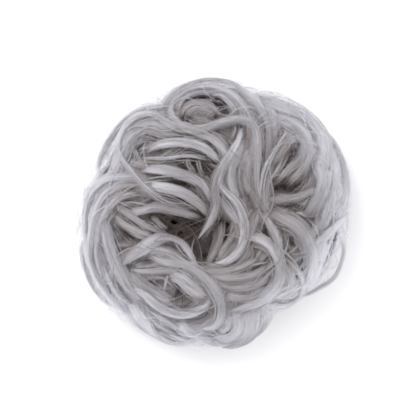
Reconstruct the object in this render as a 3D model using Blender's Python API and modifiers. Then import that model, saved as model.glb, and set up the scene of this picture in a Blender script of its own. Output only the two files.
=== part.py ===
"""Top knot hairpiece: a round of curled locks sewn by their weft to an elastic loop.

Metres, +Z up. The hairpiece lies on a table: the origin is on the table, under the middle of the
round, and the wearer's own bun goes up through the elastic loop into the hollow.
"""

import math
import random
from collections import namedtuple

import bmesh
import bpy
from mathutils import Matrix, Vector

# The round of hair, as the locks stand at rest
BUN_RADIUS = 0.066
CREST_HEIGHT = 0.046
CENTRE_DIP = 0.008
RIM_HEIGHT = 0.023
CREST_SHARE = 0.50
LAYER_STEP = 0.0020
ROOT_DEPTH = 0.002
LOCK_FULLNESS = 1.6
LOCK_FLATNESS = 0.55
LOCK_SEGMENTS = 16
LOCK_SIDES = 8

# The packed under-hair that the locks are fused to
UNDERHAIR_DEPTH = 0.0032
UNDERHAIR_FOOT = 0.042
UNDERHAIR_STEPS = 40

# The hollow for the wearer's own bun, and the eye above it where the locks part
HOLLOW_RADIUS = 0.0215
HOLLOW_HEIGHT = 0.029
DOME_STEPS = 5
EYE_PLACE = (-0.0165, -0.0035)
EYE_SIZE = (0.0085, 0.0050)
EYE_TURN_DEG = -12.0

# The elastic loop and the sewn weft round it
ELASTIC_RADIUS = 0.0205
ELASTIC_CORD = 0.005
ELASTIC_REST = 0.0015
WEFT_THICKNESS = 0.0042
WEFT_HEIGHT = 0.010
WEFT_EDGE = 0.0012
RING_STEPS = 44

# The locks round the side, which the rows below don't reach
SIDE_LOCKS = 36
SIDE_LOCK_WIDTH = 0.0088
SIDE_SWEEP_DEG = 38.0
SIDE_SEED = 7

# Making
CLEARANCE = 0.0003
FUSE_SIZE = 0.0013
SMOOTHING = 3
HAIR_TRIANGLES = 9100
MENDING_ROUNDS = 3
TABLE_CUT = 0.02

SILVER_HAIR = (0.56, 0.55, 0.57, 1.0)
BLACK_ELASTIC = (0.02, 0.02, 0.022, 1.0)
GREY_WEFT = (0.30, 0.29, 0.30, 1.0)

# A lock lies over the round through four places, each in percent of the bun's radius from its
# middle, seen from above. The width is in percent of the radius too, and lift counts the layers of
# hair that the lock lies on.
Lock = namedtuple("Lock", "name root rise fall tip width lift")
LOCKS = [
    Lock("crown_loop", (13, 69), (1, 88), (-26, 83), (-25, 66), 6.5, 3),
    Lock("crown_loop_foot", (-29, 72), (-17, 63), (5, 67), (26, 68), 6.5, 3),
    Lock("crown_fall", (15, 69), (31, 60), (30, 30), (35, 1), 8, 3),
    Lock("crown_arc", (-35, 69), (-23, 92), (12, 95), (35, 67), 8, 1.5),
    Lock("crown_rim", (-24, 92), (0, 97), (29, 89), (43, 60), 8, 0.5),
    Lock("crown_back", (-14, 91), (8, 91), (25, 78), (30, 54), 8, 2),
    Lock("crown_eye", (-23, 79), (-13, 83), (-2, 78), (6, 66), 6, 0),
    Lock("crown_drape", (30, 85), (39, 75), (43, 60), (40, 42), 8, 1),
    Lock("rear_rim", (23, 93), (39, 88), (55, 79), (70, 68), 9, 0),
    Lock("right_crest", (35, 82), (57, 74), (74, 61), (76, 36), 12, 1),
    Lock("right_crest_inner", (39, 72), (58, 66), (68, 50), (64, 28), 13, 1),
    Lock("right_hook", (60, 58), (64, 50), (58, 38), (43, 23), 5, 2),
    Lock("right_fill", (62, 48), (58, 34), (52, 24), (44, 12), 7, 0.5),
    Lock("right_rim_high", (77, 64), (89, 48), (95, 28), (90, 4), 8, 0),
    Lock("right_rim_low", (79, 56), (87, 39), (88, 17), (85, -8), 9, 0.5),
    Lock("right_sweep", (39, 14), (55, 11), (71, 19), (87, 6), 6, 2),
    Lock("right_spike", (53, 63), (46, 49), (37, 30), (36, 4), 4.5, 4),
    Lock("centre_fall", (20, 61), (12, 42), (1, 22), (4, 1), 7, 3),
    Lock("centre_tail", (3, 13), (4, 1), (-3, -11), (-12, -19), 5, 3),
    Lock("centre_s_high", (24, 52), (16, 39), (8, 25), (12, 12), 6, 4),
    Lock("centre_s_low", (5, 20), (19, 4), (22, -21), (1, -38), 8, 4),
    Lock("centre_thin", (26, 55), (21, 39), (17, 23), (21, 6), 5, 2),
    Lock("centre_inner", (5, -3), (4, -15), (-1, -27), (-8, -37), 5, 1.5),
    Lock("centre_web", (7, 13), (12, 4), (17, -6), (17, -22), 7, 1),
    Lock("centre_neck", (35, 6), (39, -6), (45, -17), (46, -27), 7, 1.5),
    Lock("left_wave_top", (-42, 56), (-26, 59), (-7, 56), (7, 41), 7.5, 3),
    Lock("left_wave_mid", (-49, 42), (-39, 53), (-14, 52), (4, 35), 7.5, 2),
    Lock("left_wave_broad", (-57, 33), (-37, 31), (-15, 27), (1, 10), 8, 3),
    Lock("left_wave_low", (-49, 22), (-33, 19), (-15, 11), (-4, -2), 9, 2),
    Lock("left_cross", (-72, 53), (-62, 33), (-42, 10), (-13, 4), 4.5, 4),
    Lock("left_drum", (-43, 72), (-61, 65), (-67, 48), (-60, 31), 13, 1),
    Lock("left_arch", (-33, 66), (-48, 75), (-66, 67), (-72, 47), 6, 2),
    Lock("left_rim_top", (-36, 79), (-58, 75), (-75, 57), (-85, 29), 8, 0),
    Lock("west_rim_top", (-54, 26), (-80, 22), (-93, 6), (-94, -21), 9, 0.5),
    Lock("west_arch", (-46, 20), (-74, 17), (-85, -3), (-82, -31), 9, 1),
    Lock("west_bright", (-82, 0), (-79, -30), (-64, -54), (-43, -69), 8, 2.5),
    Lock("west_rim_low", (-95, -17), (-94, -39), (-85, -57), (-70, -70), 7, 0),
    Lock("west_rim_inner", (-90, -9), (-88, -34), (-79, -58), (-61, -78), 8, 1),
    Lock("west_fan_high", (-76, 9), (-62, 2), (-45, -5), (-28, -10), 7, 1),
    Lock("west_fan_low", (-76, -6), (-66, -16), (-54, -24), (-40, -27), 8, 0.5),
    Lock("swirl_ribbon", (-71, -36), (-51, -20), (-27, -19), (-14, -40), 10, 3.5),
    Lock("swirl_right", (-24, -36), (-5, -48), (4, -68), (-12, -84), 7, 3),
    Lock("swirl_middle", (-55, -42), (-32, -42), (-8, -52), (-7, -69), 7, 2.5),
    Lock("swirl_low", (-65, -46), (-51, -63), (-26, -75), (-4, -64), 6.5, 3),
    Lock("swirl_outer", (-7, -44), (5, -58), (7, -74), (-5, -90), 7, 1.5),
    Lock("swirl_fill", (-66, -40), (-50, -53), (-36, -62), (-18, -66), 10, 0.5),
    Lock("south_fill", (8, -58), (16, -62), (27, -61), (37, -54), 8, 0.5),
    Lock("south_loop", (26, -19), (44, -30), (44, -52), (14, -71), 7.5, 3),
    Lock("south_streak", (-4, -44), (10, -48), (24, -47), (39, -40), 6, 1.5),
    Lock("east_arch", (35, 2), (57, -3), (69, -19), (70, -47), 8, 3),
    Lock("east_tip", (97, 2), (90, -8), (80, -18), (71, -30), 5, 1.5),
    Lock("east_loop", (92, -9), (94, -33), (81, -54), (52, -66), 7.5, 0.5),
    Lock("east_hook", (48, -31), (62, -42), (67, -56), (45, -68), 7, 2),
    Lock("south_rim_west", (-64, -62), (-54, -78), (-38, -91), (-18, -94), 10, 0),
    Lock("south_rim", (-26, -81), (-7, -93), (18, -93), (29, -72), 8, 0),
    Lock("south_fall", (20, -68), (23, -80), (19, -89), (10, -95), 9, 0.5),
]

# How far the round's edge stands out, by the angle from +X seen from above
Edge = namedtuple("Edge", "degrees share")
OUTLINE = [
    Edge(0, 0.99),
    Edge(22, 1.00),
    Edge(50, 0.99),
    Edge(75, 0.97),
    Edge(95, 0.99),
    Edge(118, 0.95),
    Edge(135, 0.98),
    Edge(155, 0.94),
    Edge(180, 0.98),
    Edge(200, 1.03),
    Edge(220, 1.03),
    Edge(245, 1.00),
    Edge(268, 0.98),
    Edge(285, 0.93),
    Edge(303, 0.86),
    Edge(322, 0.95),
    Edge(340, 1.00),
]

HAIR_COLLECTION = "top_knot_hairpiece"
CUTTER_COLLECTION = "cutters"


def clear_scene():
    for old in list(bpy.data.objects):
        bpy.data.objects.remove(old)
    for name in (HAIR_COLLECTION, CUTTER_COLLECTION):
        made = bpy.data.collections.new(name)
        bpy.context.scene.collection.children.link(made)


def material(name, colour, roughness):
    made = bpy.data.materials.new(name)
    made.use_nodes = True
    shader = made.node_tree.nodes["Principled BSDF"]
    shader.inputs["Base Color"].default_value = colour
    shader.inputs["Roughness"].default_value = roughness
    made.diffuse_color = colour
    return made


def add_object(name, data, collection=HAIR_COLLECTION, finish=None):
    made = bpy.data.objects.new(name, data)
    bpy.data.collections[collection].objects.link(made)
    if finish is not None:
        data.materials.append(finish)
    return made


def edge_radius(angle):
    """The distance from the middle to the round's edge at this angle."""
    degrees = math.degrees(angle) % 360
    following = [*OUTLINE[1:], Edge(OUTLINE[0].degrees + 360, OUTLINE[0].share)]
    for edge, beyond in zip(OUTLINE, following):
        if edge.degrees <= degrees <= beyond.degrees:
            part = (degrees - edge.degrees) / (beyond.degrees - edge.degrees)
            return BUN_RADIUS * (edge.share + (beyond.share - edge.share) * part)
    return BUN_RADIUS * OUTLINE[0].share


def crown_height(x, y):
    """Height of the first layer of locks over this place."""
    radius = math.hypot(x, y)
    crest = CREST_SHARE * BUN_RADIUS
    if radius < crest:
        return CREST_HEIGHT - CENTRE_DIP * (0.5 + 0.5 * math.cos(math.pi * radius / crest))
    out = min(1.0, (radius - crest) / (edge_radius(math.atan2(y, x)) - crest))
    return RIM_HEIGHT + (CREST_HEIGHT - RIM_HEIGHT) * math.sqrt(1.0 - out * out)


def smooth_path(points, count):
    """Points along a Catmull-Rom curve through the given ones."""
    ends = [points[0] * 2 - points[1], *points, points[-1] * 2 - points[-2]]
    spans = len(points) - 1
    path = []
    for step in range(count + 1):
        place = spans * step / count
        span = min(int(place), spans - 1)
        t = place - span
        a, b, c, d = ends[span : span + 4]
        path.append(
            0.5 * (2 * b + (c - a) * t + (2 * a - 5 * b + 4 * c - d) * t * t + (3 * b - a - 3 * c + d) * t**3)
        )
    return path


def lock_path(lock):
    """The centre line of a lock from the table, laid over the round."""
    unit = BUN_RADIUS / 100
    plan = [Vector((x * unit, y * unit, 0)) for x, y in (lock.root, lock.rise, lock.fall, lock.tip)]
    path = smooth_path(plan, LOCK_SEGMENTS)
    for index, point in enumerate(path):
        share = index / LOCK_SEGMENTS
        lift = LAYER_STEP * lock.lift * math.sin(math.pi * share) ** 0.5
        sink = ROOT_DEPTH * abs(2 * share - 1) ** 6
        point.z = crown_height(point.x, point.y) + lift - sink
    return path


def side_path(turn, low, high, sweep, bow, depth):
    """The centre line of a lock on the side. turn is its place round the bun, low and high the
    angles from the rim where it starts and ends, sweep and bow how it leans and bends, and depth
    how far it lies in from the outermost locks."""
    crest = CREST_SHARE * BUN_RADIUS
    thickness = SIDE_LOCK_WIDTH * LOCK_FLATNESS / 2
    path = []
    for step in range(LOCK_SEGMENTS + 1):
        share = step / LOCK_SEGMENTS
        around = turn + sweep * (share - 0.5) + bow * math.sin(math.tau * share)
        up = low + (high - low) * share
        tall = CREST_HEIGHT - RIM_HEIGHT if up > 0 else RIM_HEIGHT - thickness
        reach = edge_radius(around) - thickness - depth - crest
        radius = crest + reach * math.cos(up)
        path.append(
            Vector((radius * math.cos(around), radius * math.sin(around), RIM_HEIGHT + tall * math.sin(up)))
        )
    return path


def side_locks():
    """Locks all round the side, leaning left and right in turn, from under the rim to the crest."""
    chance = random.Random(SIDE_SEED)
    found = []
    for index in range(SIDE_LOCKS):
        turn = math.tau * (index + chance.uniform(-0.3, 0.3)) / SIDE_LOCKS
        lean = 1 if index % 2 else -1
        sweep = lean * math.radians(SIDE_SWEEP_DEG) * chance.uniform(0.5, 1.2)
        bow = math.radians(SIDE_SWEEP_DEG) * chance.uniform(-0.3, 0.3)
        low = math.radians(chance.uniform(-80, -60))
        high = math.radians(chance.uniform(40, 70))
        depth = LAYER_STEP * (0 if lean > 0 else 1)
        width = SIDE_LOCK_WIDTH * chance.uniform(0.75, 1.2)
        found.append((side_path(turn, low, high, sweep, bow, depth), width))
    return found


def taper(share):
    """How full a lock is along its length: thin at the root and the tip."""
    return 0.55 + 0.45 * math.sin(math.pi * share) ** 0.6


def outward(point):
    """The way a lock's flat side faces here: up over the middle, and out round the side."""
    crest = CREST_SHARE * BUN_RADIUS
    flat = Vector((point.x, point.y, 0))
    if flat.length < crest:
        return Vector((0, 0, 1))
    return (point - flat.normalized() * crest - Vector((0, 0, RIM_HEIGHT))).normalized()


def add_lock(made, path, width):
    """Adds a closed, flattened lock along the path."""
    rings = []
    for index, point in enumerate(path):
        along = path[min(index + 1, len(path) - 1)] - path[max(index - 1, 0)]
        across = along.cross(outward(point)).normalized()
        up = across.cross(along).normalized()
        half = max(width / 2 * taper(index / (len(path) - 1)), FUSE_SIZE)
        thick = max(half * LOCK_FLATNESS, FUSE_SIZE)
        turns = [math.tau * corner / LOCK_SIDES for corner in range(LOCK_SIDES)]
        offsets = [across * half * math.cos(turn) + up * thick * math.sin(turn) for turn in turns]
        rings.append([made.verts.new(point + offset) for offset in offsets])
    for ring, following in zip(rings, rings[1:]):
        for corner in range(LOCK_SIDES):
            beside = (corner + 1) % LOCK_SIDES
            made.faces.new((ring[corner], ring[beside], following[beside], following[corner]))
    made.faces.new(reversed(rings[0]))
    made.faces.new(rings[-1])


def turned_mesh(name, profile, steps):
    """A closed profile of (radius, height) places, anticlockwise, turned round Z."""
    made = bmesh.new()
    places = [made.verts.new((radius, 0, height)) for radius, height in profile]
    edges = [made.edges.new(pair) for pair in zip(places, places[1:] + places[:1])]
    bmesh.ops.spin(
        made, geom=places + edges, axis=(0, 0, 1), cent=(0, 0, 0), steps=steps, angle=math.tau, use_merge=True
    )
    bmesh.ops.remove_doubles(made, verts=made.verts, dist=1e-6)
    bmesh.ops.recalc_face_normals(made, faces=made.faces)
    mesh = bpy.data.meshes.new(name)
    made.to_mesh(mesh)
    made.free()
    return mesh


def weft_inner_radius():
    return ELASTIC_RADIUS + ELASTIC_CORD / 2 + CLEARANCE


def weft_outer_radius():
    return weft_inner_radius() + WEFT_THICKNESS


def underhair_mesh():
    """A cushion of packed hair, a little inside the locks. It runs under the table, where it is cut."""
    crest = CREST_SHARE * BUN_RADIUS
    profile = [(0, -TABLE_CUT / 4), (UNDERHAIR_FOOT, -TABLE_CUT / 4), (UNDERHAIR_FOOT, 0)]
    for angle in (-50, -25, 0, 25, 50, 75, 90):
        up = math.radians(angle)
        tall = (CREST_HEIGHT if angle > 0 else 2 * RIM_HEIGHT) - RIM_HEIGHT - UNDERHAIR_DEPTH
        out = BUN_RADIUS - UNDERHAIR_DEPTH - crest
        profile.append((crest + out * math.cos(up), RIM_HEIGHT + tall * math.sin(up)))
    for share in (0.75, 0.5, 0.25, 0):
        profile.append((crest * share, crown_height(crest * share, 0) - UNDERHAIR_DEPTH))
    mesh = turned_mesh("underhair", profile, UNDERHAIR_STEPS)
    for corner in mesh.vertices:
        radius = math.hypot(corner.co.x, corner.co.y)
        if radius > crest:
            edge = edge_radius(math.atan2(corner.co.y, corner.co.x))
            wanted = crest + (radius - crest) * (edge - crest) / (BUN_RADIUS - crest)
            corner.co.x *= wanted / radius
            corner.co.y *= wanted / radius
    return mesh


def cutter(name, mesh):
    made = add_object(name, mesh, CUTTER_COLLECTION)
    made.hide_render = True
    made.display_type = "WIRE"
    return made


def hollow_cutter():
    """The wearer's bun with a rounded top, and below it the seat of the weft."""
    seat_radius = weft_outer_radius() + CLEARANCE
    seat_top = WEFT_HEIGHT + CLEARANCE
    dome_start = HOLLOW_HEIGHT * 0.7
    below = -TABLE_CUT / 2
    profile = [(0, below), (seat_radius, below), (seat_radius, seat_top), (HOLLOW_RADIUS, seat_top)]
    for step in range(DOME_STEPS + 1):
        angle = math.pi / 2 * step / DOME_STEPS
        profile.append(
            (HOLLOW_RADIUS * math.cos(angle), dome_start + (HOLLOW_HEIGHT - dome_start) * math.sin(angle))
        )
    return cutter("hollow_cutter", turned_mesh("hollow_cutter", profile, RING_STEPS))


def eye_cutter():
    """An oval hole where the locks part, from the top of the round down into the hollow."""
    made = bmesh.new()
    bmesh.ops.create_cone(made, cap_ends=True, segments=20, radius1=1, radius2=1, depth=CREST_HEIGHT)
    place = Matrix.Translation((*EYE_PLACE, HOLLOW_HEIGHT * 0.6 + CREST_HEIGHT / 2))
    turn = Matrix.Rotation(math.radians(EYE_TURN_DEG), 4, "Z")
    bmesh.ops.transform(made, matrix=place @ turn @ Matrix.Diagonal((*EYE_SIZE, 1, 1)), verts=made.verts)
    mesh = bpy.data.meshes.new("eye_cutter")
    made.to_mesh(mesh)
    made.free()
    return cutter("eye_cutter", mesh)


def table_cutter():
    made = bmesh.new()
    bmesh.ops.create_cube(made, size=1.0)
    for corner in made.verts:
        corner.co.x *= 3 * BUN_RADIUS
        corner.co.y *= 3 * BUN_RADIUS
        corner.co.z = (corner.co.z - 0.5) * TABLE_CUT
    mesh = bpy.data.meshes.new("table_cutter")
    made.to_mesh(mesh)
    made.free()
    return cutter("table_cutter", mesh)


def evaluated_mesh(thing):
    return bpy.data.meshes.new_from_object(thing.evaluated_get(bpy.context.evaluated_depsgraph_get()))


def fused_mesh(mesh):
    """The overlapping locks as one skin, softened, thinned out and mended."""
    draft = add_object("hair_draft", mesh, CUTTER_COLLECTION)
    fuse = draft.modifiers.new("fuse", "REMESH")
    fuse.mode = "VOXEL"
    fuse.voxel_size = FUSE_SIZE
    fuse.use_smooth_shade = True
    soften = draft.modifiers.new("soften", "SMOOTH")
    soften.iterations = SMOOTHING
    fine = evaluated_mesh(draft)
    fine.calc_loop_triangles()
    draft.modifiers.clear()
    draft.data = fine
    thin = draft.modifiers.new("thin_out", "DECIMATE")
    thin.ratio = min(1.0, HAIR_TRIANGLES / len(fine.loop_triangles))
    fused = evaluated_mesh(draft)
    bpy.data.objects.remove(draft)
    made = bmesh.new()
    made.from_mesh(fused)
    bmesh.ops.triangulate(made, faces=made.faces)
    for _ in range(MENDING_ROUNDS):
        open_pinches(made)
    bmesh.ops.delete(made, geom=crumbs(made), context="VERTS")
    made.to_mesh(fused)
    made.free()
    return fused


def open_pinches(made):
    """Parts two walls that thinning out has joined along an edge or at a corner, and closes each."""
    pinched = {corner for edge in made.edges if len(edge.link_faces) > 2 for corner in edge.verts}
    pinched |= {corner for corner in made.verts if not corner.is_manifold}
    if pinched:
        bmesh.ops.delete(made, geom=list(pinched), context="VERTS")
        bmesh.ops.holes_fill(made, edges=made.edges)
        bmesh.ops.triangulate(made, faces=made.faces)


def crumbs(made):
    """The corners that aren't joined to the largest piece."""
    pieces = []
    left = set(made.verts)
    while left:
        piece = {left.pop()}
        edge = list(piece)
        while edge:
            corner = edge.pop()
            near = {link.other_vert(corner) for link in corner.link_edges} - piece
            piece |= near
            edge.extend(near)
        left -= piece
        pieces.append(piece)
    pieces.sort(key=len)
    return [corner for piece in pieces[:-1] for corner in piece]


def hair_locks():
    """All the locks, fused to the under-hair, with the hollow and the flat underside cut."""
    unit = BUN_RADIUS / 100
    made = bmesh.new()
    made.from_mesh(underhair_mesh())
    for lock in LOCKS:
        add_lock(made, lock_path(lock), lock.width * unit * LOCK_FULLNESS)
    for path, width in side_locks():
        add_lock(made, path, width)
    bmesh.ops.recalc_face_normals(made, faces=made.faces)
    mesh = bpy.data.meshes.new("hair_locks")
    made.to_mesh(mesh)
    made.free()
    hair = add_object("hair_locks", fused_mesh(mesh), finish=material("silver_hair", SILVER_HAIR, 0.45))
    for helper in (hollow_cutter(), eye_cutter(), table_cutter()):
        cut = hair.modifiers.new(helper.name, "BOOLEAN")
        cut.operation = "DIFFERENCE"
        cut.object = helper
    return hair


def elastic_band():
    """The fabric-covered elastic cord, a closed loop round the hollow's mouth."""
    cord = ELASTIC_CORD / 2
    bpy.ops.mesh.primitive_torus_add(
        major_radius=ELASTIC_RADIUS,
        minor_radius=cord,
        major_segments=RING_STEPS,
        minor_segments=10,
        location=(0, 0, ELASTIC_REST + cord),
    )
    band = bpy.context.object
    band.name = band.data.name = "elastic_band"
    band.data.shade_smooth()
    band.data.materials.append(material("black_elastic", BLACK_ELASTIC, 0.8))
    for collection in list(band.users_collection):
        collection.objects.unlink(band)
    bpy.data.collections[HAIR_COLLECTION].objects.link(band)
    return band


def weft_ring():
    """The sewn track that holds the roots of the locks, wound into a flat ring round the elastic."""
    inner, outer = weft_inner_radius(), weft_outer_radius()
    profile = [(inner, 0), (outer, 0), (outer, WEFT_HEIGHT), (inner, WEFT_HEIGHT)]
    grey = material("weft", GREY_WEFT, 0.9)
    ring = add_object("weft_ring", turned_mesh("weft_ring", profile, RING_STEPS), finish=grey)
    edge = ring.modifiers.new("soft_edges", "BEVEL")
    edge.width = min(WEFT_EDGE, 0.45 * WEFT_THICKNESS)
    edge.segments = 2
    edge.limit_method = "ANGLE"
    edge.angle_limit = math.radians(60)
    ring.data.shade_smooth()
    return ring


clear_scene()
elastic_band()
weft_ring()
hair_locks()
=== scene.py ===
"""The looks of the top knot hairpiece: hair laid lock by lock and strand by strand.

Metres, +Z up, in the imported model's frame. The locks on top follow the photograph. The side, the
underside and the hollow carry locks of the same kind, laid by seeded chance.
"""

import math
from collections import namedtuple

import bmesh
import bpy
import numpy as np
from mathutils import Matrix


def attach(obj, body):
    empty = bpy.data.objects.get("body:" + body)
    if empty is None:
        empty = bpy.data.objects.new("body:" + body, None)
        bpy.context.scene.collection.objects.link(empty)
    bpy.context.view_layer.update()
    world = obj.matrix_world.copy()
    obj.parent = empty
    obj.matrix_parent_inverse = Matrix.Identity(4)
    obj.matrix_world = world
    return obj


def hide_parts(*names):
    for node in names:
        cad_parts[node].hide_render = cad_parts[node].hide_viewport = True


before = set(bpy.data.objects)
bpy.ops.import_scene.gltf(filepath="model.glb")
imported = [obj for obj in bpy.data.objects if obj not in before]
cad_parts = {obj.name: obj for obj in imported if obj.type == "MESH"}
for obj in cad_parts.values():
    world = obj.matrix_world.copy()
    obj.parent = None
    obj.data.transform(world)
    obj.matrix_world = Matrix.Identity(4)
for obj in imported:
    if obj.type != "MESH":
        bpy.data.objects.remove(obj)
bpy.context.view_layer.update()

# The round, as the part's source has it, but with a crest 1 mm higher for the loose hair on it
BUN_RADIUS = 0.066
CREST_RADIUS = 0.50 * BUN_RADIUS
CREST_HEIGHT = 0.047
CENTRE_DIP = 0.008
RIM_HEIGHT = 0.023
HOLLOW_RADIUS = 0.0215
HOLLOW_HEIGHT = 0.029
EYE_PLACE = (-0.0165, -0.0035)
EYE_SIZE = (0.0085, 0.0050)
EYE_TURN_DEG = -12.0
ELASTIC_RADIUS = 0.0205
ELASTIC_CORD = 0.005
ELASTIC_REST = 0.0015
WEFT_INNER = 0.0233
WEFT_OUTER = 0.0275
WEFT_HEIGHT = 0.010

# The photograph's frame: one pixel at the height of the rim, the place of the round, and the lens
PIXEL = 0.000485
PHOTO_SIZE = 416
PHOTO_MIDDLE = PHOTO_SIZE / 2
PHOTO_ROUND = (215.0, 214.5)
CAMERA_PLACE = ((PHOTO_MIDDLE - PHOTO_ROUND[0]) * PIXEL, (PHOTO_ROUND[1] - PHOTO_MIDDLE) * PIXEL)
CAMERA_DISTANCE = 1.20

# How locks lie on each other: the height of a layer, how deep their ends dive, and the grid of heights
LOFT = 0.0002
END_DEPTH = 0.0050
TAUT_STEPS = 8
GRID_STEP = 0.0005
GRID_HALF = 145
RAISE_STEP = 0.0007

# Strands, and the bodies of close hair inside the locks
STRAND_RADIUS = 0.00011
STRAND_STEP = 0.0027
COARSE_STEP = 0.0036
PATH_STEP = 0.0015
SPAN_STEPS = 24
STRANDS_PER_MM = 26
BUNDLES_PER_MM = 1.1
BODY_STEP = 0.0024
LEAST_BODY = 0.0008
BROAD_BODY = 0.0016
BODY_SHARE = 0.66
LOCK_THICKNESS = 0.28
MOST_THICKNESS = 0.0008
UPRIGHT = 0.6
TINY = 1e-6

# Tints, from 0 for the darkest hair to 1 for the palest, and the painted light and shade added to them
STRAND_TINT = 0.46
# The bodies are a little darker than the strands, as painted shade between the strands
BODY_PAINTED_SHADE_TINT = 0.40
PALE_STEP = 0.12
# Painted light that makes the thin hair at the rim paler
RIM_PAINTED_LIGHT = 0.38
RIM_CALM = 0.9
POCKET_SHADE = 0.45
CENTRE_SHADE = 0.16
# Painted highlight on each lock's ridge and in bands along it, and painted shade at its ends and where it
# dives
RIDGE_PAINTED_HIGHLIGHT = 0.07
BAND_PAINTED_HIGHLIGHT = 0.06
END_SHADE = 0.10
DIVE_SHADE = 0.20
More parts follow.
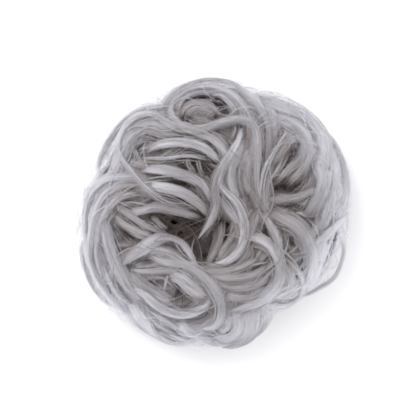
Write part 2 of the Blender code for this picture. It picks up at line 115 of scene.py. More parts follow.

# A lock on the top, seen in the photograph: the pixels that it runs through, its width in pixels,
# the layers of hair that it lies on, how pale it is, which paints its highlight and shade together with its
# own tone, and the share of its width at its root and tip.
Lock = namedtuple("Lock", "places width lift pale root tip", defaults=(0.0, 0.6, 0.45))
TOP_LOCKS = {
    "crown_locks": [
        Lock([(171, 122), (167, 109), (172, 96), (186, 86), (208, 80), (232, 83),
              (250, 95)], 9, 0.8, -0.4, 0.8),
        Lock([(174, 122), (172, 108), (178, 97), (192, 89), (212, 88), (232, 97), (246, 114),
              (251, 140), (250, 156)], 9, 1.8, -0.9, 0.9),
        Lock([(177, 116), (180, 103), (190, 95), (204, 92), (220, 95), (232, 106),
              (237, 122)], 5, 2.6, -0.9, 0.8),
        Lock([(173, 98), (170, 109), (174, 120), (184, 128), (200, 130), (221, 123), (240, 119),
              (255, 127), (258, 150), (257, 180), (261, 206)], 7, 3.6, 0.3, 0.7),
        Lock([(181, 119), (184, 110), (194, 104), (206, 105), (216, 111),
              (222, 121)], 6, 1.4, -1.8, 0.5, 0.5),
        Lock([(186, 121), (191, 113), (200, 110), (209, 113), (215, 121)], 7, 0.9, -0.9, 0.6, 0.6),
        Lock([(184, 110), (193, 116), (204, 120), (216, 123)], 6, 0.6, -0.4, 0.6, 0.5),
        Lock([(192, 104), (202, 110), (210, 118)], 6, 0.3, -0.8, 0.6, 0.6),
        Lock([(235, 84), (250, 94), (261, 108), (269, 130), (268, 150), (264, 162)], 8, 1.6, -0.3),
        Lock([(258, 98), (270, 112), (275, 130), (276, 142)], 7, 0.8, -0.5),
    ],
    "left_locks": [
        Lock([(99, 173), (101, 160), (109, 142), (124, 122), (144, 110), (172, 105)], 9, 1.2, 0.4),
        Lock([(122, 160), (118, 145), (124, 128), (138, 116), (154, 115), (172, 126), (192, 131),
              (211, 138), (223, 149), (231, 165)], 8, 3.2, 0.1, 0.6, 0.6),
        Lock([(112, 180), (120, 158), (130, 139), (146, 128), (166, 132), (184, 136)], 15, 0.8, 0.1),
        Lock([(118, 140), (119, 152), (131, 171), (149, 191), (167, 203),
              (191, 209)], 3.4, 4.4, 0.6, 0.5, 0.3),
        Lock([(146, 152), (160, 144), (182, 142), (204, 148), (222, 164)], 8, 3.0, 0.3, 0.6, 0.6),
        Lock([(140, 158), (164, 158), (190, 156), (213, 161)], 3, 2.8, -0.3),
        Lock([(186, 156), (189, 166), (197, 174)], 3, 2.2),
        Lock([(197, 156), (200, 170), (206, 178)], 3, 2.2),
        Lock([(139, 170), (160, 170), (180, 174), (202, 184), (213, 206)], 8.5, 2.8, 0.3),
        Lock([(146, 185), (160, 187), (180, 192), (197, 202), (209, 217)], 11, 2.7, 0.4),
        Lock([(124, 213), (140, 211), (156, 208), (180, 212), (203, 218)], 5, 1.6, 0.9),
        Lock([(110, 203), (126, 213), (146, 226), (168, 234)], 4, 1.0),
        Lock([(112, 212), (122, 223), (138, 232), (158, 238)], 6, 0.6),
        Lock([(150, 214), (158, 223), (168, 233)], 3, 0.8),
    ],
    "west_locks": [
        Lock([(152, 177), (130, 177), (107, 180), (92, 192), (85, 212), (85, 236),
              (90, 254)], 8.5, 0.8, -0.5),
        Lock([(147, 184), (124, 186), (105, 196), (95, 216), (90, 244), (92, 266),
              (106, 291)], 7.5, 1.5, -0.1),
        Lock([(142, 192), (120, 197), (105, 214), (98, 240), (99, 264), (108, 295)], 7, 1.0),
        Lock([(106, 210), (104, 226), (110, 248), (119, 269), (131, 290), (150, 306)], 9, 2.4, 0.3),
        Lock([(84, 238), (82, 256), (88, 278), (100, 297), (116, 308)], 7, 0.2),
        Lock([(88, 232), (88, 254), (97, 278), (112, 300), (128, 316)], 8, 0.6),
        Lock([(101, 200), (96, 215), (92, 236), (93, 252)], 8, 0.4),
    ],
    "centre_locks": [
        Lock([(242, 127), (239, 139), (232, 151), (224, 164), (218, 178), (215, 191), (217, 204),
              (213, 216), (206, 228), (198, 239)], 8, 3.0, 1.3, 0.15, 0.12),
        Lock([(229, 158), (223, 167), (220, 176), (220, 185), (227, 193), (236, 202), (242, 212),
              (246, 226), (244, 241), (234, 256), (218, 264), (204, 265)], 6.5, 4.4, 2.1, 0.25, 0.4),
        Lock([(250, 146), (244, 160), (240, 174), (241, 188), (246, 202)], 3.5, 2.6, 0.4, 0.3),
        Lock([(245, 138), (237, 154), (231, 170), (232, 187), (243, 203)], 10, 1.8, 1.3, 0.5, 0.6),
        Lock([(252, 148), (248, 165), (247, 182), (253, 199)], 8, 1.3, 0.5, 0.6, 0.6),
        Lock([(220, 192), (226, 204), (234, 214), (241, 228)], 6, 2.1, 1.4, 0.5, 0.4),
        Lock([(263, 205), (262, 190), (264, 177), (267, 167), (272, 157), (280, 143),
              (288, 128)], 3.4, 3.8, 1.6, 0.8, 0.15),
        Lock([(221, 218), (220, 236), (214, 253), (206, 266)], 6, 2.2, -0.3),
        Lock([(238, 226), (231, 238), (222, 252), (216, 261)], 4, 2.2, 0.6),
        Lock([(262, 204), (257, 216), (252, 232), (248, 246)], 6, 2.2, -0.4),
        Lock([(258, 206), (248, 214), (240, 228), (238, 246)], 6, 1.4),
        Lock([(262, 206), (268, 222), (274, 238), (279, 254)], 6, 2.0, -0.6),
    ],
    "right_locks": [
        Lock([(252, 98), (276, 105), (304, 116), (320, 134), (322, 158), (312, 184),
              (293, 199)], 18, 1.0, -0.5),
        Lock([(262, 112), (286, 120), (304, 134), (308, 154), (300, 172), (284, 186)], 11, 0.5, -0.4),
        Lock([(292, 138), (303, 141), (301, 158), (288, 170), (276, 183)], 6, 2.0, -0.1),
        Lock([(312, 122), (332, 143), (343, 170), (343, 196), (335, 217), (326, 232)], 14, 0.2, 0.3),
        Lock([(314, 132), (330, 152), (334, 178), (328, 206), (320, 236)], 14, 0.6, 0.1),
        Lock([(318, 160), (322, 180), (314, 202), (304, 216)], 12, 1.0, 0.4),
        Lock([(263, 201), (282, 199), (300, 196), (318, 187)], 6, 2.4),
        Lock([(262, 208), (280, 217), (299, 228), (311, 250), (311, 270), (304, 290)], 11, 2.4, 0.5),
        Lock([(264, 214), (273, 229), (279, 246), (280, 258)], 6, 2.8),
        Lock([(350, 212), (338, 224), (322, 239), (306, 250)], 6, 1.6, 0.9),
        Lock([(337, 226), (344, 250), (335, 276), (316, 290), (300, 297)], 8, 0.6, 0.7),
        Lock([(322, 232), (319, 256), (312, 280), (300, 299)], 10, 0.6, 0.2, 0.6, 0.6),
        Lock([(281, 254), (294, 266), (303, 282), (299, 298), (284, 306), (266, 303)], 5, 1.6, -0.3, 0.3),
        Lock([(282, 262), (289, 276), (292, 296)], 9, 1.0, 0.0, 0.7, 0.7),
    ],
    "lower_locks": [
        Lock([(121, 266), (130, 259), (140, 251), (151, 243), (163, 238),
              (176, 239)], 12, 3.6, 0.1, 0.15, 0.5),
        Lock([(152, 243), (166, 238), (180, 242), (189, 252), (194, 264),
              (195, 274)], 5, 3.9, 0.1, 0.3, 0.6),
        Lock([(144, 253), (158, 250), (174, 255), (190, 266)], 8, 3.1, -0.7, 0.3, 0.5),
        Lock([(148, 254), (166, 262), (188, 266), (208, 281), (221, 304), (216, 325),
              (196, 329)], 8.5, 3.4, 0.5),
        Lock([(126, 270), (144, 271), (164, 271), (184, 270)], 4, 3.0),
        Lock([(166, 270), (180, 278), (194, 289), (210, 299)], 10, 2.4, 1.2, 0.5, 0.6),
        Lock([(130, 285), (144, 294), (158, 306), (175, 314), (191, 314), (204, 308),
              (212, 298)], 8, 3.0, 1.3),
        Lock([(124, 268), (136, 282), (153, 294), (174, 305)], 12, 0.6, 1.3),
        Lock([(238, 242), (251, 238), (266, 243), (277, 258), (278, 279), (264, 297), (244, 307),
              (228, 312)], 9, 3.4, 0.5, 0.3),
        Lock([(195, 267), (212, 271), (236, 269), (260, 258)], 5, 2.2),
        Lock([(205, 273), (228, 278), (252, 275), (271, 264)], 5, 2.6, 0.2),
        Lock([(211, 281), (232, 288), (256, 284), (273, 273)], 6, 2.2),
        Lock([(220, 292), (236, 297), (252, 296), (268, 286)], 7, 1.6),
        Lock([(200, 262), (211, 277), (222, 298), (222, 318)], 7, 1.6),
        Lock([(253, 304), (255, 323), (250, 337), (238, 345), (222, 348)], 11, 0.6, 0.2),
        Lock([(245, 307), (246, 325), (240, 337), (227, 342), (210, 342)], 12, 0.8, 0.1),
        Lock([(234, 309), (237, 325), (230, 336), (214, 337)], 11, 1.0, 0.2),
        Lock([(261, 304), (266, 318), (258, 332), (244, 341)], 9, 0.1, -0.1),
        Lock([(224, 314), (227, 326), (219, 334)], 8, 1.2, 0.1),
        Lock([(178, 319), (190, 332), (206, 342), (226, 346)], 10, 0.6, 0.9),
        Lock([(128, 296), (140, 314), (156, 334), (176, 343), (196, 340)], 14, 0.6, 0.4),
        Lock([(112, 288), (123, 308), (142, 327), (164, 342)], 9, 0.2, 0.3),
        Lock([(305, 291), (293, 302), (276, 306), (257, 303)], 8, 0.4),
    ],
}

# Pockets between the locks, sunk and darkened with painted shade, as the pixel of their middle and half
# their width and height
Pocket = namedtuple("Pocket", "px py wide tall")
POCKETS = [Pocket(*row) for row in (
    (180, 223, 26, 13), (200, 250, 12, 14), (198, 160, 18, 9), (181, 292, 4, 8),
    (290, 152, 3, 4), (286, 186, 12, 6), (288, 204, 10, 3), (224, 232, 6, 8), (291, 241, 3, 3),
    (267, 228, 4, 8), (160, 127, 14, 9), (174, 128, 6, 3), (199, 112, 8, 3), (203, 99, 14, 4),
    (222, 108, 8, 5), (146, 261, 8, 2), (180, 184, 15, 2), (170, 200, 14, 2.5),
    (130, 228, 10, 8),
)]

# How far the round's edge stands out and how much painted light its thin hair gets, by the angle from +X
# seen from above
Edge = namedtuple("Edge", "degrees share pale")
OUTLINE = [Edge(*row) for row in (
    (0, 0.945, 1.0), (22, 0.955, 1.0), (50, 0.966, 0.82), (75, 0.942, 0.75), (95, 0.956, 0.55),
    (118, 0.912, 0.25), (135, 0.942, 0.4), (153, 0.88, 0.8), (180, 0.956, 1.05),
    (200, 1.016, 1.0), (220, 1.016, 1.15), (240, 0.956, 1.2), (262, 0.955, 1.0),
    (285, 0.885, 0.85), (305, 0.795, 1.15), (322, 0.865, 1.3), (340, 0.905, 1.6),
)]


# Shape of the round


def unit(vectors):
    """Vectors brought to a length of 1."""
    return vectors / np.maximum(np.linalg.norm(vectors, axis=-1, keepdims=True), TINY)


def whole_turn(count):
    """Even angles round a circle."""
    return np.arange(count) * 2 * np.pi / count


def outline_at(angle, column="share"):
    """A column of the outline's table at each angle: the edge's distance from the middle as a share of
    the bun's radius, or how much painted light its thin hair gets."""
    turns = [edge.degrees for edge in OUTLINE] + [360 + OUTLINE[0].degrees]
    values = [getattr(edge, column) for edge in OUTLINE + OUTLINE[:1]]
    return np.interp(np.degrees(angle) % 360, turns, values)


def crown_height(x, y):
    """Height of the first layer of locks over each place."""
    radius = np.hypot(x, y)
    edge = BUN_RADIUS * outline_at(np.arctan2(y, x))
    inside = CREST_HEIGHT - CENTRE_DIP * (0.5 + 0.5 * np.cos(np.pi * np.minimum(radius / CREST_RADIUS, 1)))
    out = np.clip((radius - CREST_RADIUS) / (edge - CREST_RADIUS), 0, 1)
    outside = RIM_HEIGHT + (CREST_HEIGHT - RIM_HEIGHT) * np.sqrt(1 - out * out)
    return np.where(radius < CREST_RADIUS, inside, outside)


def side_place(angle, up, depth):
    """Places on the side. up runs from -90 degrees under the round, through 0 at the rim, to 90 on
    the crest, and depth is how far in from the outside they are."""
    reach = BUN_RADIUS * outline_at(angle) - CREST_RADIUS - depth
    tall = np.where(up > 0, CREST_HEIGHT - RIM_HEIGHT, RIM_HEIGHT) - depth
    radius = CREST_RADIUS + reach * np.cos(up)
    return np.stack([radius * np.cos(angle), radius * np.sin(angle), RIM_HEIGHT + tall * np.sin(up)], -1)


def outward(path):
    """The way out of the hair at each place of a path."""
    flat = path * (1, 1, 0)
    radius = np.linalg.norm(flat, axis=-1, keepdims=True)
    heart = flat / np.maximum(radius, TINY) * CREST_RADIUS + np.array((0, 0, RIM_HEIGHT))
    return np.where(radius < CREST_RADIUS, (0.0, 0.0, 1.0), unit(path - heart))


def smooth_path(points, step=PATH_STEP):
    """Even places along a Catmull-Rom curve through the points."""
    points = np.asarray(points, float)
    ends = np.concatenate([[points[0] * 2 - points[1]], points, [points[-1] * 2 - points[-2]]])
    t = np.linspace(0, 1, SPAN_STEPS, endpoint=False)[:, None]
    fine = [
        0.5 * (2 * b + (c - a) * t + (2 * a - 5 * b + 4 * c - d) * t**2 + (3 * b - a - 3 * c + d) * t**3)
        for a, b, c, d in zip(ends, ends[1:], ends[2:], ends[3:])
    ]
    return even_path(np.concatenate([*fine, points[-1:]]), step)


def even_path(fine, step=PATH_STEP):
    """Even places along a line of close points."""
    gone = np.concatenate([[0], np.cumsum(np.linalg.norm(np.diff(fine, axis=0), axis=1))])
    wanted = np.linspace(0, gone[-1], max(8, round(gone[-1] / step)))
    return np.stack([np.interp(wanted, gone, fine[:, axis]) for axis in range(3)], -1)


def path_length(path):
    """Length along a path."""
    return np.linalg.norm(np.diff(path, axis=0), axis=1).sum()


def seen_path(places, height_at):
    """A line over the hair, from the pixels that it runs through. height_at gives the height over places
    on the floor."""
    spots = [((px - PHOTO_MIDDLE) * PIXEL, (PHOTO_MIDDLE - py) * PIXEL, 0) for px, py in places]
    seen = smooth_path(spots)[:, :2]
    height = np.full(len(seen), RIM_HEIGHT)
    for _ in range(3):
        flat = CAMERA_PLACE + seen * ((CAMERA_DISTANCE - height) / (CAMERA_DISTANCE - RIM_HEIGHT))[:, None]
        height = height_at(flat)
    return np.column_stack([flat, height])


def taut(height):
    """The line of a lock that is pulled over heights under it."""
    line = height.copy()
    for _ in range(TAUT_STEPS):
        line[1:-1] = np.maximum(height[1:-1], (line[:-2] + line[2:]) / 2)
    for _ in range(3):
        line[1:-1] = (line[:-2] + 2 * line[1:-1] + line[2:]) / 4
    return line


class Relief:
    """Heights of the hair laid so far, on a square grid seen from above."""

    def __init__(self):
        self.rows = np.arange(-GRID_HALF, GRID_HALF + 1) * GRID_STEP
        self.heights = crown_height(*np.meshgrid(self.rows, self.rows, indexing="ij"))

    def under(self, flat, half):
        """Height under each place of a lock, between the middle's and the highest across it."""
        spots = []
        for way in ((0, 0), (1, 0), (-1, 0), (0, 1), (0, -1)):
            cell = np.round((flat + 0.7 * half * np.array(way)) / GRID_STEP).astype(int) + GRID_HALF
            spots.append(self.heights[tuple(np.clip(cell, 0, 2 * GRID_HALF).T)])
        return 0.5 * spots[0] + 0.5 * np.max(spots, axis=0)

    def raise_under(self, path, half, thick):
        """Adds a lock to the heights."""
        for x, y, z in even_path(path, RAISE_STEP):
            first = np.clip(np.searchsorted(self.rows, (x - half, y - half)), 0, 2 * GRID_HALF)
            last = np.clip(np.searchsorted(self.rows, (x + half, y + half)), 0, 2 * GRID_HALF)
            patch = self.heights[first[0] : last[0], first[1] : last[1]]
            rows, columns = self.rows[first[0] : last[0]], self.rows[first[1] : last[1]]
            off = np.hypot(rows[:, None] - x, columns[None] - y) / half
            round_top = z + thick * np.sqrt(np.clip(1 - off**2, 0, 1))
            patch[:] = np.where(off < 1, np.maximum(patch, round_top), patch)


def lay(lock, relief):
    """A lock's centre line over the hair laid before it, with its ends tucked in."""
    half = lock.width * PIXEL / 2
    thick = min(LOCK_THICKNESS * half, MOST_THICKNESS)
    path = seen_path(lock.places, lambda flat: taut(relief.under(flat, half)))
    share = np.linspace(0, 1, len(path))
    blunt = np.where(share < 0.5, lock.root, lock.tip)
    path[:, 2] += 0.6 * thick + LOFT * lock.lift - END_DEPTH * blunt * np.abs(2 * share - 1) ** 5
    relief.raise_under(path, half, thick)
    return path


def lay_locks(relief):
    """The centre line of each lock on top, laid from the lowest to the highest."""
    order = []
    for name, locks in TOP_LOCKS.items():
        order += [(lock.lift, name, index) for index, lock in enumerate(locks)]
    return {(name, index): lay(TOP_LOCKS[name][index], relief) for _, name, index in sorted(order)}


def pocket_at(x, y):
    """How far inside a pocket each place is, from 0 to 1; the pockets are sunk and painted with shade."""
    deepest = np.zeros(np.shape(x))
    for pocket in POCKETS:
        across = (x - CAMERA_PLACE[0]) / PIXEL - (pocket.px - PHOTO_MIDDLE)
        along = (y - CAMERA_PLACE[1]) / PIXEL - (PHOTO_MIDDLE - pocket.py)
        off = np.hypot(across / pocket.wide, along / pocket.tall)
        deepest = np.maximum(deepest, np.clip(1.6 - off, 0, 1))
    return deepest


def rim_share(places):
    """How far out each place is, from 0 in the middle to 1 at the rim."""
    edge = BUN_RADIUS * outline_at(np.arctan2(places[..., 1], places[..., 0]))
    return np.hypot(places[..., 0], places[..., 1]) / edge


def rim_light_share(places):
    """How thin the hair is, and so how much painted light it gets: 0 towards the middle and low on the
    side, and about 1 at the rim.
    """
    out = np.clip((rim_share(places) - 0.70) / 0.30, 0, 1)
    pale = outline_at(np.arctan2(places[..., 1], places[..., 0]), "pale")
    return pale * out * out * (3 - 2 * out) * np.clip((places[..., 2] - 0.015) / 0.015, 0, 1)


def painted_light_and_shade(places):
    """How much paler the thin hair at the rim is painted, as painted light, and how much darker the hair in
    the middle and deep in the pockets is painted, as painted shade."""
    x, y, z = np.moveaxis(places, -1, 0)
    deep = np.clip(0.2 + (crown_height(x, y) - z) / 0.0025, 0, 1) * (z > HOLLOW_HEIGHT - 0.012)
    # Painted shade in the middle of the round and deep in the pockets
    painted_shade = CENTRE_SHADE * np.clip(1 - rim_share(places) / 0.6, 0, 1) + POCKET_SHADE * deep * pocket_at(x, y)
    return RIM_PAINTED_LIGHT * rim_light_share(places) - painted_shade


# Meshes of strands


def paint(mesh, tints, flows=None):
    """Gives each corner of a mesh its tint, and its place across and along the hair if that is given."""
    tint = mesh.attributes.new("tint", "FLOAT", "POINT")
    tint.data.foreach_set("value", tints.astype(np.float32).reshape(-1))
    if flows is not None:
        flow = mesh.attributes.new("flow", "FLOAT_VECTOR", "POINT")
        flow.data.foreach_set("vector", flows.astype(np.float32).reshape(-1))


class Strands:
    """Collects strands and lock bodies with their tints, and makes them one mesh."""

    def __init__(self, name):
        self.name = name
        self.corners = []
        self.faces = []
        self.tints = []
        self.flows = []
        self.count = 0

    def add(self, corners, faces, tints, flows):
        """Adds corners with their tints and flows, and the faces that join them."""
        self.corners.append(corners.reshape(-1, 3))
        self.faces += faces
        self.tints.append(tints.reshape(-1))
        self.flows.append(flows.reshape(-1, 3))
        self.count += len(self.corners[-1])

    def add_ribbons(self, centres, sideways, radii, tint):
        """Adds flat strands. centres and sideways are (strand, place, axis), radii and tint (strand,
        place)."""
        strands, places = centres.shape[:2]
        reach = sideways * radii[..., None]
        corners = np.stack([centres - reach, centres + reach], 2)
        first = self.count + (np.arange(strands) * places * 2)[:, None] + (np.arange(places - 1) * 2)[None]
        quads = np.stack([first, first + 1, first + 3, first + 2], -1).reshape(-1, 4)
        self.add(corners, [quads], np.repeat(np.clip(tint, 0, 1)[..., None], 2, 2), np.zeros_like(corners))

    def add_tube(self, path, across, up, radii, tint, sides, flat=1.0, lobes=1.0):
        """Adds a closed tube: path, across and up are (place, axis), radii and tint (place). lobes is how
        far each corner stands out, as (place, side)."""
        places = len(path)
        turns = np.pi / 2 + whole_turn(sides)
        ring = across[:, None] * np.cos(turns)[:, None] + up[:, None] * (flat * np.sin(turns))[:, None]
        ring = ring * (radii[:, None] * lobes)[..., None]
        gone = np.cumsum(np.linalg.norm(np.diff(path, axis=0, prepend=path[:1]), axis=1))
        flow = np.zeros((places, sides, 3))
        flow[..., 0] = np.cos(turns) * radii.max()
        flow[..., 1] = gone[:, None]
        flow[..., 2] = len(self.flows) * 0.37
        corner = self.count + np.arange(places * sides).reshape(places, sides)
        beside = np.roll(corner, -1, axis=1)
        quads = np.stack([corner[:-1], corner[1:], beside[1:], beside[:-1]], -1).reshape(-1, 4)
        faces = [quads, corner[:1], corner[-1:, ::-1]]
        self.add(path[:, None] + ring, faces, np.repeat(tint[:, None], sides, 1), flow)

    def piece(self, material, slot="hair_locks"):
        """Makes the mesh, and the piece that it is."""
        mesh = bpy.data.meshes.new(self.name)
        corners = np.concatenate(self.corners)
        loops = np.concatenate([faces.reshape(-1) for faces in self.faces])
        sizes = np.concatenate([np.full(len(faces), faces.shape[1]) for faces in self.faces])
        starts = np.concatenate([[0], np.cumsum(sizes)[:-1]])
        mesh.vertices.add(len(corners))
        mesh.vertices.foreach_set("co", corners.astype(np.float32).reshape(-1))
        mesh.loops.add(len(loops))
        mesh.loops.foreach_set("vertex_index", loops.astype(np.int32))
        mesh.polygons.add(len(sizes))
        mesh.polygons.foreach_set("loop_start", starts.astype(np.int32))
        mesh.polygons.foreach_set("use_smooth", np.ones(len(sizes), bool))
        paint(mesh, np.concatenate(self.tints), np.concatenate(self.flows))
        mesh.update(calc_edges=True)
        mesh.validate()
        return dress(self.name, mesh, material, slot)


def dress(name, mesh, material, slot):
    """Makes a piece that stands for the slot's node and rides with the part."""
    mesh.materials.append(material)
    made = bpy.data.objects.new(name, mesh)
    bpy.context.scene.collection.objects.link(made)
    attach(made, "root")
    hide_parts(slot)
    return made


# Locks of hair


def frames(path, heart=None, upright=0.0):
    """Across and up at each place of a lock's centre line. Up is out of the hair, leant to the sky as far
    as upright says, or towards the heart of the hollow."""
    along = unit(np.gradient(path, axis=0))
    out = outward(path) + np.array((0, 0, upright)) if heart is None else heart - path
    across = unit(np.cross(along, out))
    return across, np.cross(across, along)


def wander(chance, count, share, waves, size):
    """Slow drift of each strand from its place in the lock."""
    drift = np.zeros((count, share.shape[-1]))
    for wave in waves:
        turn = chance.uniform(0, 2 * np.pi, (count, 1))
        how_much = chance.normal(0, size / wave**0.7, (count, 1))
        drift += how_much * np.sin(2 * np.pi * wave * share + turn)
    return drift


def fullness_along(share, gather):
    """How full a lock is at each share of its length, gathered at its root and its tip."""
    root = gather[0] + (1 - gather[0]) * np.clip(share / (0.38 - 0.16 * gather[0]), 0, 1) ** 0.8
    tip = gather[1] + (1 - gather[1]) * np.clip((1 - share) / (0.42 - 0.16 * gather[1]), 0, 1) ** 0.8
    return root * tip


def tapered(gone, left, least):
    """How thick a strand is at each share gone from its start and left to its end, sharp at both ends."""
    return np.clip(np.minimum(gone, left) * 6, least, 1)


def lock_tints(chance, centres, wide, share, step, bundle_tint, pale):
    """The tint of a lock's strands along their length: a painted highlight on its ridge and in bands, and
    painted shade at its ends and where it dives. Where the hair is thin it is paler, with painted light,
    and more even."""
    thin = np.minimum(rim_light_share(centres), 1)
    mottle = bundle_tint[:, None] + chance.normal(0, 0.026, (len(centres), 1))
    dive = np.abs(np.gradient(centres[..., 2], axis=1)) / np.maximum(step, TINY)
    # Painted highlight on the ridge and in bands, less painted shade at the ends and where the lock dives
    painted_highlight_and_shade = RIDGE_PAINTED_HIGHLIGHT * (1 - 2 * np.minimum(np.abs(wide), 1) ** 2)
    painted_highlight_and_shade += BAND_PAINTED_HIGHLIGHT * np.sin(2 * np.pi * (chance.uniform(0.5, 1.2) * share + chance.random()))
    painted_highlight_and_shade -= END_SHADE * np.abs(2 * share - 1) ** 4 + DIVE_SHADE * np.minimum(dive, 1) * (thin < 0.1)
    even = STRAND_TINT + (mottle + painted_highlight_and_shade) * (1 - RIM_CALM * thin)
    return even + PALE_STEP * pale * (1 - 0.5 * thin) + painted_light_and_shade(centres)


def add_lock(
    strands, bodies, path, width, chance, pale=0.0, fill=1.0, gather=(0.6, 0.45), loose=0.10, fringe=0.25,
    step=STRAND_STEP, heart=None, splay=0.3, upright=0.0,
):
    """Lays a lock: bundles of strands, side by side, over a body that keeps light from passing through.
    gather is its share of its width at its root and tip, loose the share of its strands that stray,
    fringe the share that stands out beside it, and splay how far its ends fan out."""
    length = path_length(path)
    across, up = frames(path, heart, upright)
    places = np.linspace(0, 1, len(path))
    half = width / 2
    bundles = max(2, round(width * 1000 * BUNDLES_PER_MM))
    count = max(6, round(width * 1000 * STRANDS_PER_MM * fill))
    steps = max(7, round(length / step))
    even = np.linspace(0, 1, steps)
    start = chance.uniform(0, 0.06, (count, 1))
    finish = 1 - 0.22 * chance.random((count, 1)) ** 2
    share = start + (finish - start) * even

    def read(values):
        """Values of the centre line at each place of each strand."""
        along = share.reshape(-1)
        rows = [np.interp(along, places, values[:, axis]) for axis in range(3)]
        return np.stack(rows, -1).reshape(count, steps, 3)

    middle, side, out = read(path), read(across), read(up)
    bundle = chance.integers(bundles, size=count)
    bundle_place = np.linspace(-0.75, 0.75, bundles) + chance.normal(0, 0.08, bundles)
    bundle_drift = wander(chance, bundles, even, (0.5, 1.1), 0.10)
    bundle_high = chance.normal(0, 0.12, bundles)
    bundle_tint = chance.normal(0, 0.04, bundles)
    stray = 1 + (chance.random((count, 1)) < loose) * chance.uniform(2, 7, (count, 1))
    wide = bundle_place[bundle][:, None] + bundle_drift[bundle] + chance.normal(0, 0.15, (count, 1))
    wide += wander(chance, count, share, (0.7, 1.7), 0.05) * stray
    wide = np.where(chance.random((count, 1)) < fringe, wide * 1.6, wide)
    wide *= 1 + splay * np.abs(chance.normal(0, 1, (count, 1))) * np.abs(2 * even - 1) ** 3
    layer = 1 - 1.3 * chance.random((count, 1)) ** 1.5
    high = np.sqrt(np.clip(1 - wide**2, 0.04, 1)) * layer + bundle_high[bundle][:, None]
    high -= 1.2 * np.clip(np.abs(wide) - 0.8, 0, 1)
    high += wander(chance, count, share, (0.6, 1.6), 0.07) * stray
    twist = chance.normal(0, 0.4) * (share - 0.5)
    flat = min(LOCK_THICKNESS, MOST_THICKNESS / half)
    wide, high = (
        wide * np.cos(twist) - high * flat * np.sin(twist),
        high * flat * np.cos(twist) + wide * np.sin(twist),
    )
    reach = fullness_along(share, gather) * half
    centres = middle + side * (wide * reach)[..., None] + out * (high * reach)[..., None]
    centres[..., 2] = np.maximum(centres[..., 2], STRAND_RADIUS * 1.5)
    radii = STRAND_RADIUS * chance.uniform(0.65, 1.35, (count, 1)) * tapered(even, 1 - even, 0.05)
    roll = chance.uniform(-0.25, 0.25, (count, 1)) + chance.normal(0, 0.15, (count, 1)) * share
    sideways = side * np.cos(roll)[..., None] + out * np.sin(roll)[..., None]
    tint = lock_tints(chance, centres, wide, share, length / steps, bundle_tint[bundle], pale)
    strands.add_ribbons(centres, sideways, radii, tint)
    if bodies and half > LEAST_BODY:
        # The body is darker than its strands, as painted shade between them
        add_body(bodies, path, across, up, half, flat, gather, BODY_PAINTED_SHADE_TINT + PALE_STEP * pale, chance)


def add_body(bodies, path, across, up, half, flat, gather, tint, chance):
    """The close hair inside a lock, ridged along its length."""
    steps = max(8, round(path_length(path) / BODY_STEP))
    sides = 12 if half > BROAD_BODY else 8
    pick = np.linspace(0, len(path) - 1, steps).round().astype(int)
    share = np.linspace(0, 1, steps)
    radii = half * BODY_SHARE * fullness_along(share, gather) * tapered(share, 1 - share, 0.1) ** 0.7
    turns = whole_turn(sides)
    lobes = np.ones((steps, sides))
    for ridges in (3, 5):
        drift = chance.uniform(0, 2 * np.pi) + chance.uniform(-3, 3) * share[:, None]
        lobes += 0.09 * np.cos(ridges * turns + drift)
    tints = np.clip(tint + painted_light_and_shade(path[pick]), 0, 1)
    bodies.add_tube(path[pick], across[pick], up[pick], radii, tints, sides, flat, lobes)


# Materials


def hair_material(name, colours, roughness):
    """Hair coloured by each strand's tint. colours are (tint, red, green, blue)."""
    made = bpy.data.materials.new(name)
    made.use_nodes = True
    nodes, links = made.node_tree.nodes, made.node_tree.links
    shader = nodes["Principled BSDF"]
    tint = nodes.new("ShaderNodeAttribute")
    tint.name = "tint"
    tint.attribute_name = "tint"
    ramp = nodes.new("ShaderNodeValToRGB")
    ramp.name = "colours"
    first, last = ramp.color_ramp.elements
    first.position, first.color = colours[0][0], (*colours[0][1:], 1)
    last.position, last.color = colours[-1][0], (*colours[-1][1:], 1)
    for place, *colour in colours[1:-1]:
        ramp.color_ramp.elements.new(place).color = (*colour, 1)
    links.new(tint.outputs["Fac"], ramp.inputs["Fac"])
    links.new(ramp.outputs["Color"], shader.inputs["Base Color"])
    shader.inputs["Roughness"].default_value = roughness
    shader.inputs["Specular IOR Level"].default_value = 0.5
    return made


def add_grain(made, place, scale, detail, strength):
    """Roughens a material with noise over the places that a socket gives, and returns the noise's node."""
    nodes, links = made.node_tree.nodes, made.node_tree.links
    grain = nodes.new("ShaderNodeTexNoise")
    grain.inputs["Scale"].default_value = scale
    grain.inputs["Detail"].default_value = detail
    bump = nodes.new("ShaderNodeBump")
    bump.inputs["Strength"].default_value = strength
    bump.inputs["Distance"].default_value = 0.0002
    links.new(place, grain.inputs["Vector"])
    links.new(grain.outputs["Fac"], bump.inputs["Height"])
    links.new(bump.outputs["Normal"], nodes["Principled BSDF"].inputs["Normal"])
    return grain


def streaked_material(name, colours, roughness):
    """Close hair: fine streaks that run along each lock."""
    made = hair_material(name, colours, roughness)
    nodes, links = made.node_tree.nodes, made.node_tree.links
    flow = nodes.new("ShaderNodeAttribute")
    flow.attribute_name = "flow"
    stretch = nodes.new("ShaderNodeMapping")
    stretch.inputs["Scale"].default_value = (3200, 70, 9)
    links.new(flow.outputs["Vector"], stretch.inputs["Vector"])
    streaks = add_grain(made, stretch.outputs["Vector"], 1.0, 3.0, 0.3)
    centred = nodes.new("ShaderNodeMath")
    centred.operation = "MULTIPLY_ADD"
    centred.inputs[1].default_value = 0.6
    centred.inputs[2].default_value = -0.3
    mixed = nodes.new("ShaderNodeMath")
    links.new(streaks.outputs["Fac"], centred.inputs[0])
    links.new(centred.outputs[0], mixed.inputs[0])
    links.new(nodes["tint"].outputs["Fac"], mixed.inputs[1])
    links.new(mixed.outputs[0], nodes["colours"].inputs["Fac"])
    return made


